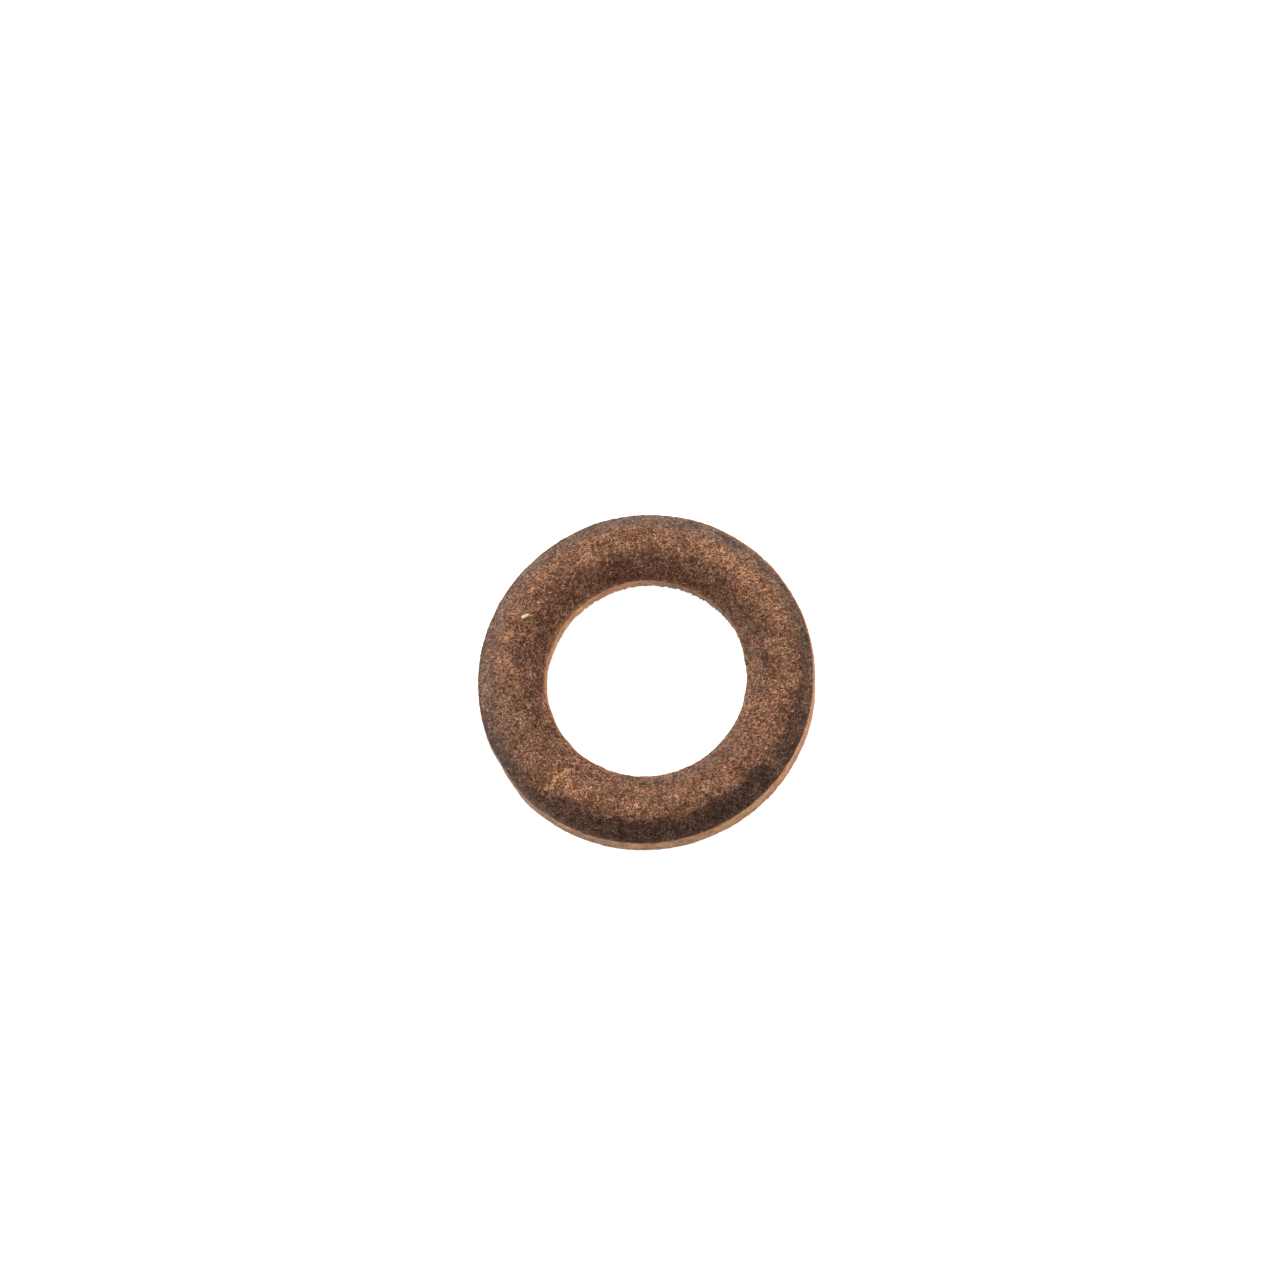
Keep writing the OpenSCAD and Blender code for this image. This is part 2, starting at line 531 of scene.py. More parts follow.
# Height of the surface's normal from which a face is upper side, or under side where it points down
FACING = 0.35


def unit(vector):
    return vector / np.linalg.norm(vector)


def rounded_corner(before, corner, after, radius):
    """Points of the arc that rounds a corner of the section"""
    back = unit(before - corner)
    ahead = unit(after - corner)
    half_angle = acos(back @ ahead) / 2
    centre = corner + unit(back + ahead) * radius / sin(half_angle)
    x, y = corner + back * radius / tan(half_angle) - centre
    side = np.sign(back[0] * ahead[1] - back[1] * ahead[0])
    turn = -side * (pi - 2 * half_angle)
    count = ceil(max(abs(turn) * radius / ARC_STEP, abs(turn) / ARC_TURN))
    angles = [turn * i / count for i in range(count + 1)]
    return [centre + np.array([x * cos(a) - y * sin(a), x * sin(a) + y * cos(a)]) for a in angles]


def section_corners(ring):
    """Corners of the section from the foot of the outer wall over the crown, each with its rounding"""
    outer_fall, inner_fall = tan(ring.outer_slope), tan(ring.inner_slope)
    both = outer_fall + inner_fall
    ridge_radius = (ring.outer_radius * outer_fall + ring.bore_radius * inner_fall) / both
    outer_drop = ring.outer_lip / cos(ring.outer_slope)
    inner_drop = ring.inner_lip / cos(ring.inner_slope)
    rim = outer_drop - ring.land * outer_fall
    inner_foot = rim - inner_drop + ring.land * inner_fall
    ridge = rim + (ring.outer_radius - ridge_radius) * outer_fall
    groove_radius = ridge_radius - (outer_drop - inner_drop) / both
    groove = ridge - outer_drop + (ridge_radius - groove_radius) * outer_fall
    return [
        (ring.outer_radius, 0.0, ring.land_rounding),
        (ring.outer_radius, rim, ring.rim_rounding),
        (ridge_radius, ridge, ring.crown_radius),
        (ring.bore_radius, rim, ring.rim_rounding),
        (ring.bore_radius, inner_foot, ring.land_rounding),
        (ring.bore_radius + ring.land, inner_foot, ring.land_rounding),
        (groove_radius, groove, ring.groove_radius),
        (ring.outer_radius - ring.land, 0.0, ring.land_rounding),
    ]


def wall_levels(ring):
    """Heights of the rims and of the foot of the bore's wall"""
    corners = section_corners(ring)
    return corners[1][1], corners[4][1]


def section_points(ring):
    """Closed outline of the section, with its points close together where the leather shows most"""
    corners = section_corners(ring)
    count = len(corners)
    spots = [np.array(corner[:2]) for corner in corners]
    outline = []
    for i, (_, _, rounding) in enumerate(corners):
        outline += rounded_corner(spots[i - 1], spots[i], spots[(i + 1) % count], rounding)
    rim, _ = wall_levels(ring)
    points = []
    for here, there in zip(outline, outline[1:] + outline[:1]):
        across = there - here
        length = np.linalg.norm(across)
        if abs(across[0]) < WALL_LEAN * length:
            step = ring.wall_step
        elif min(here[1], there[1]) > rim - ring.rim_rounding and across[0] < 0:
            step = ring.upper_step
        else:
            step = ring.under_step
        pieces = max(1, round(length / step))
        points += [here + across * k / pieces for k in range(pieces)]
    return points


def section_mesh(ring):
    """The outline as a loop of edges, upside down, because a section swept round a circle hangs from it"""
    points = section_points(ring)[::-1]
    centre = (ring.outer_radius + ring.bore_radius) / 2
    mesh = bpy.data.meshes.new("section")
    edges = [(i, (i + 1) % len(points)) for i in range(len(points))]
    mesh.from_pydata([(point[0] - centre, -point[1], 0.0) for point in points], edges, [])
    return mesh


def compared(steps, first, operation, second):
    return steps.out("FunctionNodeCompare", "Result", {"A": first, "B": second}, operation=operation)


def saved(steps, geometry, name, value, kind="FLOAT", domain="POINT"):
    """The geometry with a named value on each point, face or instance"""
    feeds = {"Geometry": geometry, "Name": name, "Value": value}
    return steps.out("GeometryNodeStoreNamedAttribute", "Geometry", feeds, data_type=kind, domain=domain)


def read_back(steps, name, kind="FLOAT"):
    return steps.out("GeometryNodeInputNamedAttribute", "Attribute", {"Name": name}, data_type=kind)


def passed(steps, kind, geometry, **feeds):
    """The geometry after a node that takes it in and puts it out"""
    return steps.out("GeometryNode" + kind, "Geometry", {"Geometry": geometry, **feeds})


def swept_section(steps, given):
    section = steps.out("GeometryNodeMeshToCurve", "Curve", {"Mesh": given["Geometry"]})
    circle = steps.out("GeometryNodeCurvePrimitiveCircle", "Curve", {
        "Resolution": given["Segments"], "Radius": given["Centre radius"]})
    path = steps.out("GeometryNodeSetCurveNormal", "Curve", {"Curve": circle}, mode="Z_UP")
    return steps.out("GeometryNodeCurveToMesh", "Mesh", {"Curve": path, "Profile Curve": section})


def relief(steps, given, place, slope, off_middle):
    """How far nap, undulation and rough cuts lift the surface, less what creases press in underneath"""
    def rough(size, detail, roughness, distortion=0.0):
        return steps.minus(steps.noise(place, given[size], detail, roughness, distortion), 0.5)

    nap = steps.times(rough("Nap size", 2.0, 0.6, 0.6), given["Nap height"])
    swell = steps.times(rough("Swell size", 2.0, 0.5), given["Swell height"])
    upright = steps.between(steps.maths("ABSOLUTE", slope), 0.75, 0.2)
    cut = steps.times(rough("Cut size", 3.0, 0.65, 0.3), steps.times(upright, given["Cut height"]))
    lift = steps.plus(steps.plus(nap, swell), cut)
    sunk = steps.times(steps.maths("MAXIMUM", slope, 0.0), given["Sunk"])
    lift = steps.minus(steps.times(lift, 2.0), sunk)
    inside = steps.between(steps.minus(given["Groove reach"], off_middle), 0.0, 0.4 * MM)
    facing_down = steps.between(slope, -0.3, -0.6)
    creased = steps.times(radial_creases(steps, place), steps.times(facing_down, inside))
    return steps.minus(lift, steps.times(creased, given["Crease depth"]))


def oval_pull(steps, given, place):
    """How far each place moves when the ring is pulled slightly oval"""
    along = steps.vectors("DOT_PRODUCT", place, given["Long axis"])
    pull = steps.times(steps.times(along, 2.0), given["Ovality"])
    stretch = steps.vectors("SCALE", given["Long axis"], pull)
    squeeze = steps.vectors("SCALE", steps.level(place), given["Ovality"])
    return steps.vectors("SUBTRACT", stretch, squeeze)


def on_the_floor(steps, place):
    """Each place, raised to the floor where it would lie under it"""
    parts = steps.node("ShaderNodeSeparateXYZ", {"Vector": place}).outputs
    height = steps.maths("MAXIMUM", parts["Z"], 0.0)
    return steps.out("ShaderNodeCombineXYZ", "Vector", {"X": parts["X"], "Y": parts["Y"], "Z": height})


def moulded_ring_tree():
    """Sweeps the section round the ring, then works nap, undulation and rough cuts into the surface"""
    inputs = {
        "Geometry": (GEOMETRY, None), "Centre radius": (FLOAT, 0.012), "Segments": (INTEGER, 600),
        "Nap height": (FLOAT, 0.02 * MM), "Nap size": (FLOAT, 0.4 * MM),
        "Swell height": (FLOAT, 0.04 * MM), "Swell size": (FLOAT, 3.0 * MM), "Sunk": (FLOAT, 0.11 * MM),
        "Cut height": (FLOAT, 0.09 * MM), "Cut size": (FLOAT, 0.4 * MM),
        "Groove reach": (FLOAT, 2.7 * MM), "Crease depth": (FLOAT, 0.08 * MM),
        "Ovality": (FLOAT, 0.005), "Long axis": (VECTOR, (0.5, 0.866, 0.0)),
        "Flesh": (MATERIAL, None), "Cut": (MATERIAL, None), "Grain": (MATERIAL, None),
    }
    steps, given, result = new_group("GeometryNodeTree", "Moulded ring", inputs, {"Geometry": GEOMETRY})
    place = steps.out("GeometryNodeInputPosition", "Position")
    normal = steps.out("GeometryNodeInputNormal", "Normal")
    slope = steps.height_of(normal)
    off_middle = steps.apart(steps.vectors("LENGTH", steps.level(place)), given["Centre radius"])
    upper = compared(steps, slope, "GREATER_THAN", FACING)
    under = steps.out("FunctionNodeBooleanMath", "Boolean", {
        "Boolean": compared(steps, slope, "LESS_THAN", -FACING),
        "Boolean_001": compared(steps, off_middle, "LESS_THAN", given["Groove reach"])}, operation="AND")

    ring = swept_section(steps, given)
    ring = saved(steps, ring, "upper_side", upper, "BOOLEAN", "FACE")
    ring = saved(steps, ring, "under_side", under, "BOOLEAN", "FACE")
    lift = relief(steps, given, place, slope, off_middle)
    ring = passed(steps, "SetPosition", ring, Offset=steps.vectors("SCALE", normal, lift))
    ring = passed(steps, "SetPosition", ring, Offset=oval_pull(steps, given, place))
    ring = passed(steps, "SetPosition", ring, Position=on_the_floor(steps, place))

    ring = passed(steps, "RealizeInstances", passed(steps, "SetShadeSmooth", ring))
    ring = passed(steps, "SetMaterial", ring, Material=given["Cut"])
    for side, material in (("upper_side", "Flesh"), ("under_side", "Grain")):
        chosen = read_back(steps, side, "BOOLEAN")
        ring = passed(steps, "SetMaterial", ring, Selection=chosen, Material=given[material])
    steps.feed(result["Geometry"], ring)
    return steps.tree


def set_inputs(modifier, values):
    """Sets a Geometry Nodes modifier's inputs by the identifiers of their sockets"""
    for item in modifier.node_group.interface.items_tree:
        if item.item_type == "SOCKET" and item.in_out == "INPUT" and item.name in values:
            modifier[item.identifier] = values[item.name]


def grown(name, mesh, tree, values):
    """A plain mesh object that a Geometry Nodes tree makes out of a mesh"""
    source = bpy.data.objects.new(name + "_source", mesh)
    bpy.context.scene.collection.objects.link(source)
    modifier = source.modifiers.new("Make", "NODES")
    modifier.node_group = tree
    set_inputs(modifier, values)
    bpy.context.view_layer.update()
    graph = bpy.context.evaluated_depsgraph_get()
    made = source.evaluated_get(graph)
    result = bpy.data.meshes.new_from_object(made, preserve_all_data_layers=True, depsgraph=graph)
    # Only the slots that the tree filled stay
    while None in result.materials[:]:
        result.materials.pop(index=result.materials[:].index(None))
    source.modifiers.clear()
    bpy.data.objects.remove(source)
    return placed(name, result)


def placed(name, mesh):
    """Puts a mesh in the scene as an object of the same name"""
    mesh.name = name
    piece = bpy.data.objects.new(name, mesh)
    bpy.context.scene.collection.objects.link(piece)
    return piece


# Marks on the upper face. Angles are in degrees round the ring, radii and sizes in millimetres.

# Where the dark band on the outer flank begins, and how much of it is stained
DARK_BAND = [
    (0, 14.0, 0.2), (10, 14.3, 0.26), (16, 14.7, 0.36), (24, 14.9, 0.15), (40, 15.0, 0.0), (180, 15.0, 0.0),
    (192, 14.8, 0.15), (200, 14.7, 0.5), (210, 14.6, 0.6), (219, 14.5, 0.45), (228, 14.3, 0.4),
    (238, 13.85, 0.72), (247, 13.85, 0.85), (256, 13.75, 0.9), (266, 13.75, 0.95), (275, 13.6, 0.95),
    (284, 13.8, 0.9), (292, 13.6, 0.92), (300, 13.4, 0.98), (306, 13.6, 0.92), (312, 13.5, 0.9),
    (318, 13.4, 0.9), (321.5, 13.7, 0.85), (324, 14.5, 0.35), (327, 14.4, 0.4), (329, 13.8, 0.75),
    (333, 13.7, 0.75), (337, 13.9, 0.5), (342, 13.8, 0.52), (350, 13.7, 0.42)]

# Where the waxy grey band on the outer flank begins, and how strong it is. Its grey is partly a waxy film and
# partly painted sheen.
WAX_AND_SHEEN_BAND = [
    (0, 14.4, 0.6), (8, 14.4, 0.65), (20, 14.2, 0.6), (30, 14.1, 0.7), (45, 14.0, 0.8), (60, 13.9, 0.95),
    (75, 13.9, 1.0), (95, 14.0, 1.0), (115, 14.0, 0.95), (130, 14.1, 0.85), (150, 13.9, 0.85),
    (165, 13.8, 0.85), (180, 13.8, 0.85), (195, 13.9, 0.8), (210, 14.1, 0.85), (222, 14.4, 0.8),
    (236, 14.6, 0.5), (255, 14.8, 0.15), (290, 14.8, 0.1), (318, 13.9, 0.25), (340, 14.4, 0.3)]

# Where the greyed band on the inner flank ends, and how strong it is. Its grey is partly a waxy film and
# partly painted sheen.
GREYED_BAND = [
    (0, 10.7, 0.45), (20, 10.7, 0.5), (38, 10.7, 0.45), (52, 10.5, 0.25), (66, 10.2, 0.0), (236, 10.2, 0.0),
    (256, 10.2, 0.28), (270, 10.3, 0.42), (286, 10.5, 0.5), (300, 10.6, 0.52), (316, 10.7, 0.38),
    (342, 10.65, 0.34)]

# Where the burnished dark band on the inner flank ends, and how strong it is. Its darkness is partly pressed,
# burnished leather and partly painted shade.
BURNISH_AND_SHADE_BAND = [
    (0, 10.6, 0.0), (15, 10.4, 0.2), (30, 10.3, 0.2), (45, 10.4, 0.7), (60, 10.4, 0.65), (75, 10.5, 1.0),
    (88, 10.1, 0.7), (97, 10.3, 0.85), (106, 11.2, 1.0), (116, 10.6, 0.75), (124, 9.9, 0.4), (135, 10.0, 0.1),
    (150, 10.4, 0.1), (170, 10.4, 0.0)]

# Widths over which the stained band, the waxy band with its painted sheen and the two inner bands fade out;
# the greyed one holds painted sheen and the burnished one painted shade
STAIN_FADE = 0.7
WAX_AND_SHEEN_FADE = 1.0
INNER_FADE = 0.8

# Patches that are stained, waxy with a painted sheen, or worn bright: (angle, radius, length along the ring,
# width, strength)
STAINS = [
    (98, 14.7, 1.6, 0.8, 0.55), (79, 14.3, 1.3, 0.5, 0.7), (72, 14.8, 1.2, 0.5, 0.45),
    (62, 14.9, 1.8, 0.6, 0.65), (56, 14.8, 1.6, 0.6, 0.6), (45, 14.7, 1.2, 0.6, 0.45),
    (36, 15.0, 1.6, 0.6, 0.22), (25, 14.6, 1.0, 0.6, 0.12), (20, 15.2, 0.9, 0.5, 0.45),
    (13.5, 15.0, 1.0, 0.6, 0.7), (127, 14.2, 0.9, 0.5, 0.5), (110, 15.0, 1.4, 0.5, 0.4),
    (88.8, 13.6, 0.5, 0.4, 0.9), (39.2, 13.6, 0.4, 0.5, 0.8), (31, 14.0, 0.4, 0.4, 0.8),
    (15.5, 12.9, 0.5, 0.4, 0.7), (322, 12.2, 0.6, 0.5, 0.8), (152.5, 10.7, 2.0, 1.3, 0.12),
    (160, 10.2, 1.5, 1.1, 0.3), (22, 11.8, 3.4, 1.0, 0.3), (164, 11.7, 1.2, 0.8, 0.45),
    (169, 11.6, 1.2, 0.8, 0.45), (174, 11.6, 1.5, 1.0, 0.5), (186, 10.5, 2.2, 1.5, 0.25),
    (198, 10.4, 1.2, 1.0, 0.35), (204, 10.8, 1.4, 0.9, 0.4), (212, 10.1, 2.2, 1.2, 0.5),
    (223, 10.3, 1.1, 0.8, 0.6), (235, 14.0, 1.1, 0.6, 0.6), (269.5, 10.05, 0.7, 0.3, 0.95),
    (285, 9.8, 1.0, 0.4, 0.4), (318, 10.6, 2.4, 1.2, 0.28), (97, 9.6, 7.5, 1.0, 0.2),
    (181, 9.6, 2.4, 0.9, 0.25), (118, 12.9, 5.0, 1.0, 0.1), (7, 10.95, 2.6, 0.6, 0.7),
    (22, 10.95, 2.8, 0.6, 0.65), (82, 10.25, 3.0, 0.6, 0.35), (187, 13.4, 2.6, 0.4, 0.3),
    (232, 10.65, 2.0, 0.5, 0.4), (247, 10.9, 2.0, 0.4, 0.3), (51.5, 10.9, 1.6, 1.1, 0.4),
    (68, 11.4, 1.0, 0.7, 0.45), (297, 13.0, 1.2, 0.7, 0.5), (240, 13.6, 1.4, 0.6, 0.45)]
WAX_AND_SHEEN_PATCHES = [
    (269, 10.0, 1.4, 0.7, 0.35), (284, 10.0, 1.8, 0.8, 0.25), (294, 10.1, 1.6, 0.8, 0.25),
    (306, 10.2, 1.8, 0.9, 0.3), (318, 10.2, 1.6, 0.8, 0.25), (190, 10.2, 3.4, 1.6, 0.2),
    (188, 13.2, 4.4, 2.2, 0.32), (203, 13.2, 3.4, 2.0, 0.28), (216, 13.6, 2.6, 1.4, 0.2),
    (60, 14.0, 2.4, 0.8, 0.3)]
BRIGHTS = [
    (25, 13.3, 3.0, 1.2, 0.6), (31, 13.8, 3.0, 1.0, 1.0), (35, 12.9, 3.2, 1.6, 0.8),
    (5, 12.9, 2.8, 1.3, 0.55), (0, 13.6, 3.0, 1.2, 0.5), (44, 13.2, 3.2, 1.6, 0.65),
    (44, 11.9, 2.4, 0.9, 0.3), (57, 13.1, 3.2, 1.6, 0.8), (65, 12.7, 3.0, 1.3, 0.85),
    (62, 13.7, 2.4, 0.9, 0.7), (70, 13.4, 3.0, 1.2, 0.85), (84, 12.9, 2.4, 1.6, 0.55),
    (78, 12.0, 2.6, 1.0, 0.5), (98, 12.0, 4.0, 1.1, 0.6), (117, 12.0, 4.0, 1.1, 0.75),
    (96, 13.2, 3.4, 1.2, 0.2), (112, 13.2, 3.2, 1.3, 0.1), (125, 13.6, 3.2, 0.8, 0.5),
    (138, 13.0, 3.0, 1.4, 0.4), (150, 13.3, 3.2, 1.6, 0.5), (150, 11.8, 2.6, 1.0, 0.35),
    (165, 13.3, 3.2, 1.6, 0.5), (176, 13.0, 2.4, 1.8, 0.75), (188, 12.9, 2.8, 1.6, 0.65),
    (199, 13.5, 3.0, 1.4, 0.65), (184, 11.8, 2.6, 1.0, 0.7), (214, 13.3, 3.0, 1.4, 0.3),
    (228, 12.8, 1.6, 1.4, 0.4), (240, 12.6, 2.6, 1.6, 0.8), (256, 12.4, 3.2, 1.6, 0.45),
    (248, 11.7, 3.0, 1.0, 0.3), (245, 11.6, 0.9, 0.6, 0.6), (266, 12.1, 1.2, 0.8, 0.5),
    (272, 12.6, 3.0, 1.3, 0.55), (286, 12.2, 3.0, 1.6, 0.3), (288, 13.5, 2.2, 0.7, 0.5),
    (300, 11.9, 2.4, 1.4, 0.35), (307, 12.7, 2.6, 1.2, 0.55), (318, 11.8, 2.4, 1.6, 0.12),
    (340, 12.6, 3.0, 1.4, 0.6), (354, 12.6, 2.6, 1.2, 0.55), (337, 13.3, 2.8, 0.5, 0.5),
    (326, 12.9, 2.6, 1.2, 0.5), (350, 11.8, 3.0, 1.0, 0.4), (274.5, 14.0, 0.5, 0.35, 0.9),
    (295, 14.3, 1.2, 0.4, 0.5), (324.5, 14.3, 0.6, 0.9, 0.6), (345, 10.0, 3.4, 1.2, 0.6),
    (320, 9.8, 2.4, 0.8, 0.4), (4, 10.05, 3.4, 1.1, 0.9), (33, 10.2, 2.4, 0.8, 0.4),
    (277, 14.15, 1.6, 0.4, 0.7), (38, 14.2, 3.4, 1.0, 0.6), (50, 14.3, 2.6, 0.8, 0.4),
    (135, 14.7, 4.0, 1.0, 0.4), (154, 14.65, 4.6, 1.0, 0.4), (181, 14.6, 6.0, 1.1, 1.0),
    (352, 14.6, 2.4, 0.6, 0.4)]

# How much sooner than its full cover a stain has its full depth
SOAKING = 2.5

# Scratches, as paths of (angle, radius)
SCRATCHES = [
    [(231.2, 13.6), (231.7, 13.2), (230.6, 12.9), (230.4, 12.5), (232.0, 12.0), (232.1, 11.3)],
    [(229.8, 13.9), (230.8, 13.7), (232.2, 13.5)], [(232.0, 13.1), (231.2, 12.8)],
    [(231.1, 11.4), (232.8, 11.2)]]
SCRATCH_WIDTH = 0.3

# Stretches of the rims that are rubbed to a bright edge: (angle, how bright)
OUTER_RIM_RUB = [
    (0, 0.7), (40, 0.7), (66, 0.4), (80, 0.0), (205, 0.0), (222, 0.3), (250, 0.1), (300, 0.3), (330, 0.5),
    (345, 0.8)]
BORE_RIM_RUB = [(90, 0.0), (150, 0.4), (172, 0.9), (258, 1.0), (272, 0.6), (292, 0.2), (320, 0.0)]

# How dark the outer rim is made: (angle, how much), and how deep the darkening is
OUTER_RIM_DARKENING = [(0, 0.0), (80, 0.2), (100, 0.7), (130, 0.9), (205, 0.9), (216, 0.3), (228, 0.0)]
RIM_DARKENING = 0.8

# Where marks by a rim begin, as (start, width) of a ramp: in height over the rim, and in distance inside it
# for the rubbed edge and for the darkened rim
BY_RIM = (-0.3, 0.2)
RUBBED = (0.14, -0.08)
DARKENED_RIM = (0.25, -0.15)

# How grey the cut walls have gone, and how grimy and darkened with painted shade: (angle, how much)
OUTER_WALL_AGE = [
    (0, 0.0), (90, 0.3), (180, 0.7), (210, 1.0), (240, 0.8), (262, 0.5), (288, 0.3), (304, 0.1), (345, 0.0)]
BORE_WALL_AGE = [
    (0, 0.6), (40, 0.9), (78, 0.85), (92, 0.35), (104, 0.1), (125, 0.0), (158, 0.0), (172, 0.3), (300, 0.3)]
OUTER_WALL_GRIME_AND_SHADE = [
    (0, 0.0), (190, 0.1), (215, 0.0), (240, 0.1), (262, 0.45), (290, 0.65), (304, 0.65), (316, 0.4),
    (330, 0.0)]
BORE_WALL_GRIME_AND_SHADE = [
    (0, 0.6), (44, 0.7), (64, 0.5), (100, 0.45), (120, 0.5), (138, 0.0), (280, 0.0), (320, 0.3)]

# Heights over which the ground's colour reaches up from the foot of each wall, as painted shade along the
# foot
OUTER_FOOT = 0.45
BORE_FOOT = 0.22

# How far the cuts stray outwards from their circles: (angle, millimetres). The outer one bulges at 226.
OUTER_CUT = [
    (0, -0.13), (12, -0.05), (22, -0.02), (32, -0.06), (50, -0.02), (60, -0.05), (70, 0.01), (80, -0.03),
    (90, 0.0), (102, 0.04), (112, 0.04), (122, -0.01), (140, 0.02), (150, 0.04), (160, 0.01), (172, 0.06),
    (180, 0.04), (204, 0.04), (209, -0.1), (218, -0.02), (222, 0.09), (226, 0.16), (230, 0.13), (234, 0.08),
    (240, 0.1), (268, 0.09), (280, 0.1), (290, 0.08), (300, 0.1), (325, 0.07), (342, 0.03), (353, -0.02)]
BORE_CUT = [
    (0, -0.03), (10, -0.14), (20, -0.06), (30, 0.03), (50, -0.08), (66, -0.1), (80, -0.16), (100, -0.1),
    (112, -0.13), (130, -0.13), (140, -0.07), (152, -0.09), (160, -0.13), (170, 0.0), (180, 0.0), (190, 0.01),
    (200, -0.11), (210, -0.07), (220, -0.13), (230, -0.07), (244, -0.15), (262, -0.1), (282, -0.06),
    (290, -0.1), (300, -0.07), (320, -0.07), (340, -0.01), (350, -0.08)]

# How far from a cut the leather moves with it
STRAY_REACH = 1.2

# How ragged the foot of the bore's wall is: (angle, depth in millimetres)
RAGGED_FOOT = [
    (0, 0.04), (40, 0.06), (58, 0.13), (96, 0.14), (125, 0.09), (145, 0.06), (180, 0.05), (260, 0.04)]

# How far tears reach up from the foot and in from the wall, their lumps to the millimetre, the least that
# they pull and how much more, and what share of that goes inwards and down
TEAR_HEIGHT = 0.45
TEAR_WIDTH = 0.6
COARSE_TEARS = 2.6
FINE_TEARS = 5.4
LEAST_PULL = 0.1
MORE_PULL = 2.2
PULL_INWARDS = 0.6
PULL_DOWN = 0.8


def around(angles, knots):
    """A value round the ring, in straight stretches between knots of (degrees, value)"""
    turns = np.radians([knot[0] for knot in knots])
    values = np.array([knot[1] for knot in knots])
    turns = np.concatenate([turns[-1:] - 2 * pi, turns, turns[:1] + 2 * pi])
    values = np.concatenate([values[-1:], values, values[:1]])
    return np.interp(np.mod(angles, 2 * pi), turns, values)


def ramp(values, start, width):
    """From 0 at the start to 1 at a width beyond it, or below it where the width is negative"""
    return np.clip((values - start) / width, 0, 1)


def band(angles, radii, knots, fade, outwards=True):
    """Cover and strength of a band from a limit, through knots of (degrees, limit, strength), to a rim"""
    limit = around(angles, [(knot[0], knot[1]) for knot in knots])
    beyond = (radii - limit if outwards else limit - radii) / fade
    return np.clip(0.5 + beyond, 0, 1), around(angles, [(knot[0], knot[2]) for knot in knots])


def oval_patch(angles, radii, spot):
    """Cover and strength of a soft-edged oval patch"""
    angle, radius, length, width, strength = spot
    turn = np.mod(angles - radians(angle) + pi, 2 * pi) - pi
    reach = (2 * turn * radius / length) ** 2 + (2 * (radii - radius) / width) ** 2
    return np.exp(-reach ** 2), strength


def together(amounts):
    """Marks laid over each other, where one that is full leaves nothing to add"""
    return 1 - np.prod([1 - amount for amount in amounts], axis=0)


def streak(angles, radii, path):
    """A scratch along a path of (degrees, radius)"""
    here = np.stack([radii * np.cos(angles), radii * np.sin(angles)], axis=-1)
    spots = [radius * np.array([cos(radians(angle)), sin(radians(angle))]) for angle, radius in path]
    nearest = np.full(len(here), np.inf)
    for start, end in zip(spots, spots[1:]):
        along = end - start
        share = np.clip((here - start) @ along / (along @ along), 0, 1)
        nearest = np.minimum(nearest, np.linalg.norm(here - start - share[:, None] * along, axis=-1))
    return np.exp(-(2 * nearest / SCRATCH_WIDTH) ** 3)


def vertex_array(mesh, quantity):
    values = np.empty(len(mesh.vertices) * 3)
    mesh.vertices.foreach_get(quantity, values)
    return values.reshape(-1, 3)


def store(mesh, name, values):
    layer = mesh.attributes.new(name, "FLOAT", "POINT")
    layer.data.foreach_set("value", np.asarray(values, np.float32))


def stored(mesh, name):
    values = np.empty(len(mesh.vertices), np.float32)
    mesh.attributes[name].data.foreach_get("value", values)
    return values


def round_places(mesh):
    """Angle, radius and height of each point, in radians and millimetres"""
    places = vertex_array(mesh, "co") / MM
    return np.arctan2(places[:, 1], places[:, 0]), np.hypot(places[:, 0], places[:, 1]), places[:, 2]


def rim_clearance(radii):
    """How far inside the rims a radius lies, in millimetres"""
    return np.minimum(OUTER - radii, radii - BORE)


def fray(mesh, bore_foot):
    """Lets the cuts stray from their circles, and tears the foot of the bore's wall into nibs"""
    places = vertex_array(mesh, "co")
    angles, radii, heights = round_places(mesh)
    depth = around(angles, RAGGED_FOOT) * ramp(heights, bore_foot / MM + TEAR_HEIGHT, -TEAR_HEIGHT)
    depth *= radii < BORE + TEAR_WIDTH
    for i in np.flatnonzero(depth):
        along = Vector((angles[i] * BORE, 0.0, 0.0))
        coarse = noise.noise(along * COARSE_TEARS)
        fine = noise.noise(along * FINE_TEARS + Vector((0.0, 7.0, 0.0)))
        pull = depth[i] * (LEAST_PULL + MORE_PULL * (0.55 * coarse + 0.45 * fine))
        places[i, :2] *= 1 - PULL_INWARDS * pull / radii[i]
        places[i, 2] -= PULL_DOWN * pull * MM
    stray = around(angles, OUTER_CUT) * (1 - ramp(OUTER - radii, 0, STRAY_REACH))
    stray += around(angles, BORE_CUT) * (1 - ramp(radii - BORE, 0, STRAY_REACH))
    places[:, :2] *= (1 + stray / radii)[:, None]
    mesh.vertices.foreach_set("co", places.ravel())
    mesh.update()


